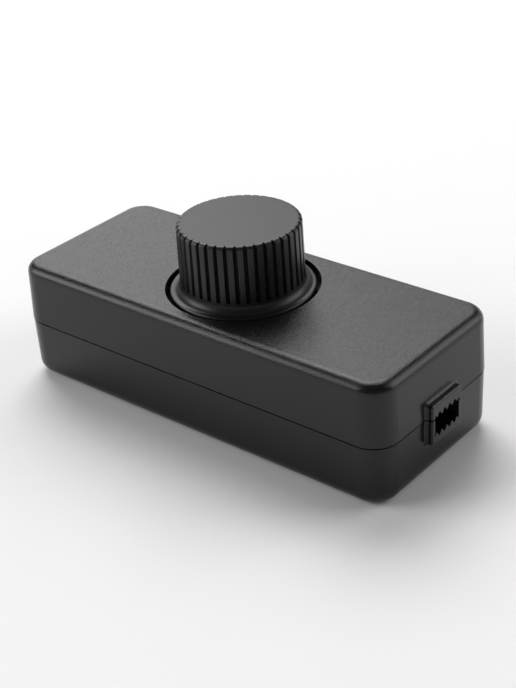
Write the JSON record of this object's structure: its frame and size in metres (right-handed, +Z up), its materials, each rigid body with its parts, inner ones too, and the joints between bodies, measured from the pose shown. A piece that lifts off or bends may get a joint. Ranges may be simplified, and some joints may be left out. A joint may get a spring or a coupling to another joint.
{
  "type": "rotary cord dimmer",
  "caption": "In-line rotary lamp dimmer: drafted two-half box with rounded edges, a fluted knob in a round well on top, and toothed cord outlets at both ends.",
  "frame": {"origin": "middle of the flat underside, below the knob's axis", "axes": "+X along the housing from the input outlet to the output outlet, +Y across it, +Z up along the knob's axis"},
  "size_m": [0.0904, 0.0362, 0.0376],
  "materials": {
    "case_plastic": "fine spark-eroded satin black",
    "knob_plastic": "smooth satin black",
    "shaft_plastic": "natural",
    "screw_steel": "zinc plated",
    "can_steel": "tinned",
    "contact_brass": "bright",
    "board_sheet": "phenolic paper sheet",
    "terminal_plastic": "moulded",
    "dark_moulding": "moulded epoxy",
    "sink_aluminium": "mill",
    "capacitor_plastic": "moulded box",
    "resistor_coat": "lacquer"
  },
  "bodies": {
    "housing": {"base": "case_plastic", "top_cover": "case_plastic", "case_screws": "screw_steel", "pot_housing": "can_steel", "pot_track": "board_sheet", "pot_legs": "contact_brass", "pot_switch": "dark_moulding", "circuit_board": "board_sheet", "input_terminal_block": "terminal_plastic", "output_terminal_block": "terminal_plastic", "terminal_cages": "contact_brass", "terminal_screws": "screw_steel", "triac": "dark_moulding", "heat_sink": "sink_aluminium", "triac_screw": "screw_steel", "choke": "dark_moulding", "suppression_capacitor": "capacitor_plastic", "fuse": "dark_moulding", "timing_capacitor": "capacitor_plastic", "timing_resistor": "resistor_coat", "gate_resistor": "resistor_coat", "diac": "resistor_coat"},
    "control": {"knob": "knob_plastic", "pot_shaft": "shaft_plastic", "pot_clip": "screw_steel", "pot_wiper": "contact_brass"}
  },
  "joints": [
    {"name": "knob_turn", "type": "hinge", "parent": "housing", "child": "control", "pos_m": [0, 0, 0.0205], "axis": [0, 0, 1], "range_deg": [-150, 150]}
  ]
}
